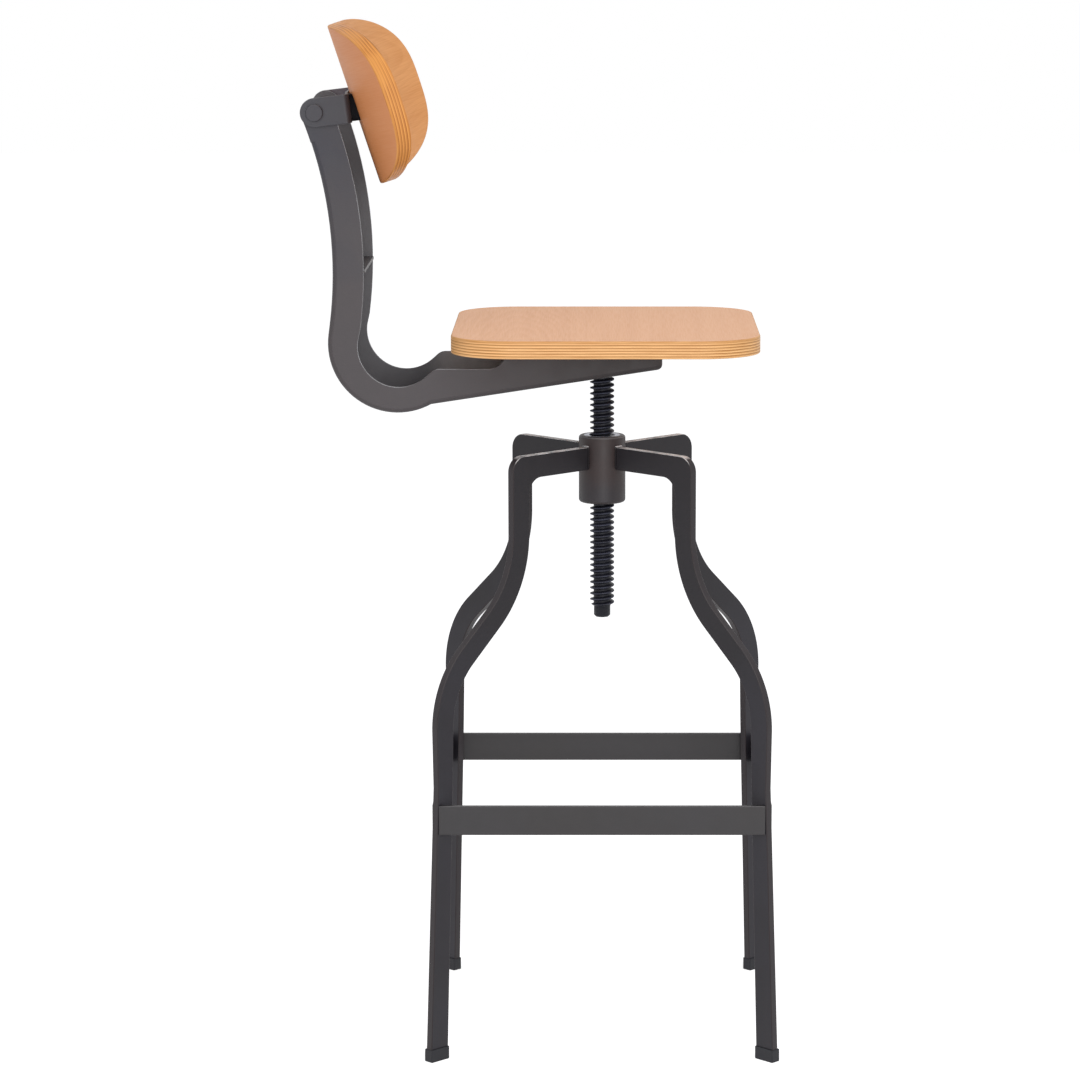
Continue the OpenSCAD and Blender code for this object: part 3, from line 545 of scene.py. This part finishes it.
# Painted shade and glint: the beads are darker than the hub, and their tops take a near-white glint.
bead_lacquer = steel_finish("bead lacquer", screen(22, 20, 23), screen(24, 20, 22), highlight_and_wear_level=1.0,
                            gloss=0.15, bright=screen(235, 235, 238))
side_up = np.stack([np.full(rise_steps, bead_y),
                    np.linspace(bead_low, bead_top - bead_turn_r, rise_steps)], -1)
over = arc(bead_y - bead_turn_r, bead_top - bead_turn_r, bead_turn_r, 6, 90, top_steps)
level_run = np.stack([np.linspace(bead_y - bead_turn_r - bead_gap, bead_gap, top_steps),
                      np.full(top_steps, bead_top)], -1)
half_bead = np.concatenate([side_up, over, level_run])
whole_bead = np.concatenate([half_bead, half_bead[::-1] * [-1, 1]])
across, up = whole_bead.T
out = np.sqrt(hub_r ** 2 - across ** 2) + bead_proud
for angle, corner in leg_names.items():
    c, s = math.cos(math.radians(angle)), math.sin(math.radians(angle))
    path = np.stack([out * c - across * s, out * s + across * c, up], -1)
    bead = weld_bead("hub_weld_" + corner, path, bead_r, bead_ripple)
    bead.data.materials.append(bead_lacquer)
    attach(bead, "base")


# ---------------------------------------------------------------- foot caps
# Black plastic caps, each moulded in one piece with a soft lip.
# They are pushed over the legs' ends and keep the steel off the floor.
def moulded(name, colour, grain_scale=1400.0, roughness=(0.42, 0.58), gloss=0.35):
    """Moulded plastic or rubber: fine even grain, with the gloss a little patchy."""
    material, tree, shader = new_finish(name)
    place = add(tree, "TexCoord").outputs["Object"]
    grain = noise(tree, place, grain_scale, 2.0)
    patch = noise(tree, place, 70.0, 4.0)
    shade = eased_range(tree, patch, 0.3, 0.7, 0.85, 1.2)
    feed(tree, shader.inputs, {
        "Base Color": scaled(tree, colour[:3], shade),
        "Roughness": eased_range(tree, patch, 0.3, 0.7, *roughness),
        "Normal": bumped(tree, grain, 0.00006, 0.5),
        "Specular IOR Level": gloss})
    return material


def dress(node, material, edge_width=0.0):
    """A solid that is kept: its faces are welded, its edges eased by a width in millimetres, and
    it takes the material."""
    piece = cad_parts[node]
    if edge_width:
        piece.modifiers.new("weld", "WELD").merge_threshold = 0.00001
        ease = piece.modifiers.new("ease", "BEVEL")
        ease.width = edge_width / 1000
        ease.segments = 3
        ease.angle_limit = math.radians(35)
        ease.miter_outer = "MITER_ARC"
        ease.harden_normals = True
    for slot in piece.material_slots:
        slot.link = "OBJECT"
        slot.material = material


cap_plastic = moulded("cap plastic", screen(24, 24, 30))
for corner in leg_names.values():
    dress("foot_cap_" + corner, cap_plastic, 0.5)


# ---------------------------------------------------------------- footrest
# Four flat steel bars between the shins, flush with the legs' outer corners.
# Their ends are cut to a mitre and welded to the plates.
bar_z, bar_h, bar_t, bar_arris, weld_gap = 251.0, 30.0, 5.0, 0.9, 0.05
bar_middle, bar_half = shin_middle(bar_z)
bar_face = (bar_middle + bar_half + leg_t / 2) / math.sqrt(2)
bar_back = (leg_t / 2 + weld_gap) * math.sqrt(2)
bar_inside = bar_face - bar_t
bar_corners = [(bar_face, bar_back - bar_face), (bar_face, bar_face - bar_back),
               (bar_inside, bar_inside - bar_back), (bar_inside, bar_back - bar_inside)]
bar_outline = eased(bar_corners, 0.7, 3)[0]
bar_lacquer = steel_finish("bar lacquer", screen(48, 46, 48), screen(46, 43, 43), highlight_and_wear_level=0.2)
bar_ways = {"front": (1, 0), "left": (0, 1), "rear": (-1, 0), "right": (0, -1)}
for side, (c, s) in bar_ways.items():
    bar = plate("footrest_bar_" + side, bar_outline, bar_h, bar_arris,
                lambda u, v, w: (u * c - v * s, u * s + v * c, w + bar_z))
    flat_faces(bar)
    bar.data.materials.append(bar_lacquer)
    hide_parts("footrest_" + side)
    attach(bar, "base")


# ---------------------------------------------------------------- screw and nut
# Blackened steel lead screw with a rounded right-hand thread, turned plain at the tip.
# It runs in a bronze nut pressed into the hub.
def threaded_rod(name, low, high, crest_r, root_r, pitch, tip, spigot):
    """Right-hand thread: the surface's radius at height z and turn a is root + depth * crest(f),
    where f is the fraction of z / pitch - a / (2 pi) and crest is a cosine flattened at its top
    and bottom. The depth fades to nothing near both ends. tip and spigot are plain
    (radius, length) below and above. Field: edge = the crest's height, cubed."""
    around, rise, fade_low, fade_high, joint, soften = 72, 0.32, 2.5, 3.0, 0.05, 0.5
    a = np.linspace(0, 2 * math.pi, around, endpoint=False)[None]
    z = np.linspace(low, high, int((high - low) / rise))[:, None]
    wave = np.cos(2 * math.pi * (z / pitch - a / (2 * math.pi)))
    crest = np.clip(0.5 + 0.5 * np.tanh(1.6 * (wave - 0.22)) / np.tanh(1.25), 0, 1)
    fade = np.clip((z - low) / fade_low, 0, 1) * np.clip((high - z) / fade_high, 0, 1)
    r = root_r + (crest_r - root_r) * crest * fade
    (tip_r, tip_length), (spigot_r, spigot_length) = tip, spigot
    end, top = low - tip_length, high + spigot_length
    ends = np.array([(tip_r - 2.4, end), (tip_r - 1.9, end), (tip_r - 0.3, end + 1.6),
                     (tip_r, end + 2.1), (tip_r, low - joint)])
    head = np.array([(spigot_r, high + joint), (spigot_r, top - soften), (spigot_r - soften, top)])
    radius = np.concatenate([ends[:, :1] + 0 * a, r, head[:, :1] + 0 * a])
    level = np.concatenate([ends[:, 1:], z, head[:, 1:]]) + 0 * a
    highlight_and_wear = np.concatenate([0 * ends[:, :1] + 0 * a, crest * fade, 0 * head[:, :1] + 0 * a])
    return skin(name, np.stack([radius * np.cos(a), radius * np.sin(a), level], -1), edge=highlight_and_wear ** 3)


thread_low, thread_top, crest_r, root_r, pitch = 440.0, 711.7, 12.7, 8.9, 6.0
screw_tip, screw_spigot = (8.6, 11.5), (9.0, 6.0)
screw = threaded_rod("lead_screw_thread", thread_low, thread_top, crest_r, root_r, pitch,
                     screw_tip, screw_spigot)
# Painted highlight: the thread's crests take a lighter bluish edge tone.
screw.data.materials.append(steel_finish("screw black", screen(22, 23, 31), screen(21, 21, 28),
                                         way=(0, 0, 0), edge_tone=screen(56, 58, 72), gloss=0.25))
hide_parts("lift_screw")
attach(screw, "lift")


def cast_bronze(name):
    """Dull bronze, browner where it is handled less."""
    material, tree, shader = new_finish(name)
    patch = noise(tree, add(tree, "TexCoord").outputs["Object"], 160.0, 5.0)
    share = eased_range(tree, patch, 0.35, 0.65)
    feed(tree, shader.inputs, {
        "Base Color": blend_colours(tree, share, screen(96, 76, 52), screen(132, 106, 72)),
        "Roughness": eased_range(tree, patch, 0.3, 0.7, 0.32, 0.5),
        "Metallic": 0.85})
    return material


bronze = cast_bronze("nut bronze")
dress("spindle_nut", bronze, 0.4)


# ---------------------------------------------------------------- seat plate
# Steel plate welded between the channel's walls under the board.
# Four wood screws go up through it and hold the board.
plate_lacquer = steel_finish("plate lacquer", screen(60, 57, 60), screen(60, 52, 52), edge=None)
dress("seat_plate", plate_lacquer, 0.5)
screw_black = steel_finish("wood screw black", screen(38, 37, 43), screen(36, 33, 36), edge=None)
dress("seat_screws", screw_black)


# ---------------------------------------------------------------- seat board
# Rounded square of many-ply board under clear lacquer, screwed to the plate from below.
# Its arrises are eased, and its plies are bare on the rim.
def board(name, rim, thickness, arris, place):
    """A panel with rounded arrises. Rings shrink the rim evenly towards its middle over both
    faces, and on the arris the rim moves in by arris * (1 - sin a) while the depth w moves by
    arris * (1 - cos a). place(u, v, w) puts it in the stool. Fields: lay = (u, v, w) in metres,
    rim_show = 1 on the rim."""
    rings, smallest, largest = 26, 0.02, 0.98
    flat, grow = np.zeros(rings), np.linspace(smallest, largest, rings)
    a = np.linspace(0, math.pi / 2, 7)
    bow_in, bow_up, bare = arris * (1 - np.sin(a)), arris * (1 - np.cos(a)), np.clip(a / 0.5, 0, 1)
    shrink = np.linspace(largest, smallest, rings)
    scale = np.concatenate([grow, np.ones(2 * len(a)), shrink])
    inset = np.concatenate([flat + arris, bow_in, bow_in[::-1], flat + arris])
    w = np.concatenate([flat, bow_up, thickness - bow_up[::-1], flat + thickness])
    show = np.concatenate([flat, bare, bare[::-1], flat])
    shrunk = (rim[None] - inset[:, None, None] * outward(rim)[None]) * scale[:, None, None]
    u, v = np.moveaxis(shrunk, -1, 0)
    w = w[:, None] + 0 * u
    lay = np.stack([u, v, w], -1) / 1000
    return skin(name, np.stack(place(u, v, w), -1), lay=lay, rim_show=show[:, None] + 0 * u)


def drawn_out(tree, point, stretch, detail, roughness=0.5):
    """Noise with a number of clouds to the metre for each direction, so that it forms streaks."""
    return noise(tree, product(tree, point, stretch), 1.0, detail, roughness)


# Veneer: the growth rings are circles round the tree's heart, which leans away under the face and
# sways along it. Each ring darkens slowly and ends sharply, and fades away from the heart. Fine
# fibres and broad bands along the grain lie over it.
veneer, given, result = group_of(
    "face veneer",
    [("Across", "Float", 0.0), ("Along", "Float", 0.0), ("Heart", "Float", 0.0),
     ("Lean", "Float", 0.1), ("Ring", "Float", 0.006), ("Figure", "Float", 0.4),
     ("Pale", "Color", screen(226, 180, 150)), ("Dark", "Color", screen(205, 155, 120))],
    [("Colour", "Color"), ("Roughness", "Float"), ("Height", "Float")])
tree = veneer
spot = add(tree, "CombineXYZ", {0: given["Across"], 1: given["Along"]}).outputs[0]
sway = drawn_out(tree, spot, (14, 3.2, 1), 3.0)
off_heart = calc(tree, "SUBTRACT", calc(tree, "MULTIPLY_ADD", sway, 0.05, given["Across"]),
                 calc(tree, "ADD", given["Heart"], 0.025))
depth = calc(tree, "MULTIPLY_ADD", given["Along"], given["Lean"], 0.03)
depth_square = calc(tree, "MULTIPLY", depth, depth)
radius = calc(tree, "SQRT", calc(tree, "MULTIPLY_ADD", off_heart, off_heart, depth_square))
phase = calc(tree, "FRACT", calc(tree, "DIVIDE", radius, given["Ring"]))
ring = calc(tree, "MULTIPLY", eased_range(tree, phase, 0.1, 0.86),
            eased_range(tree, phase, 1.0, 0.9))
away = calc(tree, "ABSOLUTE", off_heart)
ring = calc(tree, "MULTIPLY", ring, eased_range(tree, away, 0.03, 0.11, 1.0, 0.2))
fibre = drawn_out(tree, spot, (900, 22, 1), 3.0, 0.6)
band = drawn_out(tree, spot, (60, 1.6, 1), 4.0)
tint = calc(tree, "MULTIPLY_ADD", ring, given["Figure"],
            eased_range(tree, fibre, 0.35, 0.7, 0.0, 0.3))
tint = calc(tree, "ADD", tint, eased_range(tree, band, 0.35, 0.7, 0.0, 0.3))
feed(tree, result, {
    "Colour": blend_colours(tree, held(tree, tint), given["Pale"], given["Dark"]),
    "Roughness": eased_range(tree, fibre, 0.3, 0.7, 0.48, 0.56),
    "Height": calc(tree, "MULTIPLY_ADD", ring, -0.3, fibre)})

# Bare plies: the depth, wandering a little, is divided by the ply's thickness, and a dark line
# stands at each joint. The lines blur in patches and stop under the plain top ply. Threads and
# short dark flaws run along the plies.
plies, given, result = group_of(
    "bare plies",
    [("Point", "Vector", (0, 0, 0)), ("Depth", "Float", 0.0), ("Ply", "Float", 0.0028),
     ("Skin", "Float", 0.0148), ("Pale", "Color", screen(246, 198, 144)),
     ("Deep", "Color", screen(224, 172, 116)), ("Line", "Color", screen(186, 130, 76)),
     ("Knot", "Color", screen(150, 92, 44)), ("Fade", "Float", 0.4), ("Wander", "Float", 0.0008)],
    [("Colour", "Color"), ("Roughness", "Float"), ("Height", "Float")])
tree = plies
wander = calc(tree, "SUBTRACT", noise(tree, given["Point"], 8.0, 1.5), 0.5)
wander = calc(tree, "MULTIPLY", wander, given["Wander"])
level = calc(tree, "ADD", wander, given["Depth"])
share = calc(tree, "FRACT", calc(tree, "DIVIDE", level, given["Ply"]))
skin_end = calc(tree, "ADD", given["Skin"], 0.0006)
below = eased_range(tree, given["Depth"], given["Skin"], skin_end, 1.0, 0.0)
clear = noise(tree, given["Point"], 15.0, 2.0)
clear = eased_range(tree, clear, 0.4, 0.58, given["Fade"], 1.0)
line = calc(tree, "ADD", eased_range(tree, share, 0.13, 0.03), eased_range(tree, share, 0.87, 0.97))
line = calc(tree, "MULTIPLY", calc(tree, "MULTIPLY", line, below), clear)
bright = calc(tree, "MULTIPLY", eased_range(tree, share, 0.12, 0.22),
              eased_range(tree, share, 0.6, 0.46))
bright = calc(tree, "MULTIPLY_ADD", calc(tree, "MULTIPLY", bright, below),
              calc(tree, "MULTIPLY", clear, 0.6), calc(tree, "MULTIPLY_ADD", clear, -0.5, 0.5))
part = add(tree, "SeparateXYZ", {0: given["Point"]}).outputs
streak = add(tree, "CombineXYZ", {0: part[0], 1: part[1], 2: given["Depth"]}).outputs[0]
streak = product(tree, streak, (30, 30, 1300))
thread = noise(tree, streak, 1.0, 3.0)
lit = calc(tree, "ADD", bright, eased_range(tree, thread, 0.3, 0.7, 0.0, 0.45))
wood = blend_colours(tree, held(tree, lit), given["Deep"], given["Pale"])
wood = blend_colours(tree, line, wood, given["Line"])
flaw = eased_range(tree, noise(tree, streak, 0.22, 1.0), 0.7, 0.76, 0.0, 0.8)
feed(tree, result, {
    "Colour": blend_colours(tree, flaw, wood, given["Knot"]),
    "Roughness": eased_range(tree, thread, 0.3, 0.7, 0.4, 0.55),
    "Height": calc(tree, "MULTIPLY_ADD", line, -0.6, thread)})


def lacquered_ply(name, along, grain, figure, thickness, shown, hidden, plied):
    """Board finish: veneer on the faces, plies on the rim. along is the axis of lay that the grain
    runs on, grain the heart's place across it, its lean and the ring spacing, and figure how
    strongly the rings show. shown and hidden are pale and dark for the face in front and for the
    one behind, and plied is what the plies take: the ply, where the plain top ply starts, how
    faint a line gets, how far it wanders, and the pale, deep, line and knot colours."""
    material, tree, shader = new_finish(name)
    lay = add(tree, "Attribute", attribute_name="lay").outputs["Vector"]
    lay = add(tree, "SeparateXYZ", {0: lay}).outputs
    show = add(tree, "Attribute", attribute_name="rim_show").outputs["Fac"]
    third = thickness / 3 / 1000
    behind = eased_range(tree, lay[2], third, 2 * third, 1.0, 0.0)
    feeds = {"Across": lay[1 - along], "Along": lay[along], **grain,
             "Figure": eased_range(tree, behind, 0.0, 1.0, figure, figure / 5),
             "Pale": blend_colours(tree, behind, shown[0], hidden[0]),
             "Dark": blend_colours(tree, behind, shown[1], hidden[1])}
    face = add(tree, "Group", feeds, node_tree=veneer).outputs
    feeds = {"Point": add(tree, "TexCoord").outputs["Object"], "Depth": lay[2], **plied}
    rim = add(tree, "Group", feeds, node_tree=plies).outputs
    height = add(tree, "Mix", {0: show, 2: face["Height"], 3: rim["Height"]}).outputs[0]
    feeds = {0: show, 2: face["Roughness"], 3: rim["Roughness"]}
    feed(tree, shader.inputs, {
        "Base Color": blend_colours(tree, show, face["Colour"], rim["Colour"]),
        "Roughness": add(tree, "Mix", feeds).outputs[0],
        "Normal": bumped(tree, height, 0.00008, 0.25),
        "Specular IOR Level": 0.25})
    return material


seat_l, seat_w, seat_r, seat_arris = 311.0, 330.0, 62.0, 1.5
seat_low, seat_t, seat_ahead = 718.0, 18.0, 3.5
half_l, half_w = seat_l / 2, seat_w / 2
seat_corners = [(-half_l, -half_w), (half_l, -half_w), (half_l, half_w), (-half_l, half_w)]
corner_steps, side_steps = 32, 8
seat_arcs = eased(seat_corners, seat_r, corner_steps)[0].reshape(4, -1, 2)
share = np.linspace(0, 1, side_steps + 1)[:-1, None]
seat_rim = np.concatenate([
    np.concatenate([bow[:-1], bow[-1] + (after[0] - bow[-1]) * share])
    for bow, after in zip(seat_arcs, np.roll(seat_arcs, -1, 0))])
seat = board("seat_board", seat_rim, seat_t, seat_arris,
             lambda u, v, w: (u + seat_ahead, v, w + seat_low))
flat_faces(seat)
seat.data.materials.append(lacquered_ply(
    "seat board lacquer", along=1, grain={"Heart": -0.09, "Lean": 0.12, "Ring": 0.0065},
    figure=0.22, thickness=seat_t,
    shown=(screen(233, 180, 140), screen(219, 162, 120)),
    hidden=(screen(230, 174, 132), screen(214, 154, 110)),
    plied={"Ply": 0.0028, "Skin": 0.0148, "Fade": 0.85, "Wander": 0.0008,
           "Pale": screen(242, 192, 134), "Deep": screen(190, 133, 76),
           "Line": screen(146, 92, 44), "Knot": screen(140, 84, 38)}))
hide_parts("seat_panel")
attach(seat, "seat")


# ---------------------------------------------------------------- back arm
# One sheet pressed and folded to a channel: lower face under the seat, elbow with its throat,
# leaning upright with a crowned back and two folded edges. The cross plate ties its walls.
# Painted light and shade: the front edges take a painted highlight, the inner walls lighter tones, lightest
# below the seat, and the part under the seat a painted shade that darkens towards the front.
arm_lacquer = steel_finish("arm lacquer", screen(49, 49, 57), screen(64, 59, 61), edge=None,
                           way=(0.7, 0, 0.7), warm_from=(0.9, 0.72),
                           painted_inner_light=(screen(92, 90, 93), screen(172, 164, 162)),
                           bright=screen(168, 168, 172), painted_seat_shade=(-0.2, 0.03, screen(30, 22, 23)))
dress("back_arm", arm_lacquer, 0.45)
dress("arm_cross_plate", plate_lacquer, 0.4)


# ---------------------------------------------------------------- bracket
# Steel strip bent to a U round the arm's head, hung on two rivets with bronze washers between.
# Two wood screws hold the board to it through two rubber pads.
# Painted light: the bracket's inner faces take a lighter tone than its outside.
bracket_painted_light = screen(112, 106, 114)
bracket_lacquer = steel_finish("bracket lacquer", screen(55, 55, 61), screen(55, 52, 57),
                               edge=None, highlight_and_wear_level=0.3, painted_inner_light=(bracket_painted_light, bracket_painted_light),
                               edge_tone=screen(46, 43, 48))
dress("back_bracket", bracket_lacquer, 0.4)
dress("pivot_rivet_left", bracket_lacquer, 0.3)
dress("pivot_rivet_right", bracket_lacquer, 0.3)
dress("pivot_washer_left", bronze)
dress("pivot_washer_right", bronze)
pad_rubber = moulded("pad rubber", screen(12, 12, 17), grain_scale=900.0, roughness=(0.55, 0.7),
                     gloss=0.08)
dress("back_pads", pad_rubber, 0.6)
dress("back_screws", screw_black)


# ---------------------------------------------------------------- backrest board
# Ply pressed to a bend across its width, sawn to a full oval and eased at the arrises.
# It stands with its hollow side to the sitter.
bend_r, board_t, board_arris, half_y, half_z = 430.0, 14.0, 1.5, 190.0, 83.5
pivot_x, pivot_z, board_ahead, board_drop = -287.8, 956.4, 34.9, 6.1
lean = math.radians(18.2)

# The flat board's rim, a superellipse that is fuller below than above: y is half_y times
# |cos a| ** (2 / fullness) and z is half_z times |sin a| ** (2 / fullness), with their signs.
rim_steps, top_fullness, low_fullness = 220, 2.8, 3.3
a = np.linspace(0, 2 * math.pi, rim_steps, endpoint=False)
fullness = np.where(np.sin(a) > 0, top_fullness, low_fullness)
back_rim = np.stack([np.sign(np.cos(a)) * np.abs(np.cos(a)) ** (2 / fullness) * half_y,
                     np.sign(np.sin(a)) * np.abs(np.sin(a)) ** (2 / fullness) * half_z], -1)


def bent(u, v, w):
    """Wraps the flat board round its bend and leans it: the depth at w is bend_r less the chord's
    height on the radius bend_r - w, then x and z turn by the lean about the pivot."""
    depth = bend_r - np.sqrt((bend_r - w) ** 2 - u ** 2) + board_ahead
    high = v - board_drop
    x = pivot_x + depth * math.cos(lean) - high * math.sin(lean)
    return x, u, pivot_z + depth * math.sin(lean) + high * math.cos(lean)


back = board("backrest_board", back_rim, board_t, board_arris, bent)
flat_faces(back)
back.data.materials.append(lacquered_ply(
    "backrest board lacquer", along=0, grain={"Heart": 0.03, "Lean": 0.1, "Ring": 0.0034},
    figure=0.2, thickness=board_t,
    shown=(screen(222, 158, 99), screen(200, 132, 70)),
    hidden=(screen(214, 140, 88), screen(206, 130, 78)),
    plied={"Ply": 0.0028, "Skin": 0.0118, "Fade": 0.15, "Wander": 0.012,
           "Pale": screen(218, 152, 80), "Deep": screen(184, 114, 52),
           "Line": screen(150, 88, 38), "Knot": screen(130, 74, 30)}))
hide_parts("backrest_panel")
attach(back, "backrest")

sizes = {"cad": solid_box, "visual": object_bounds()}
sizes = {name: [[float(value) for value in corner] for corner in corners] for name, corners in sizes.items()}
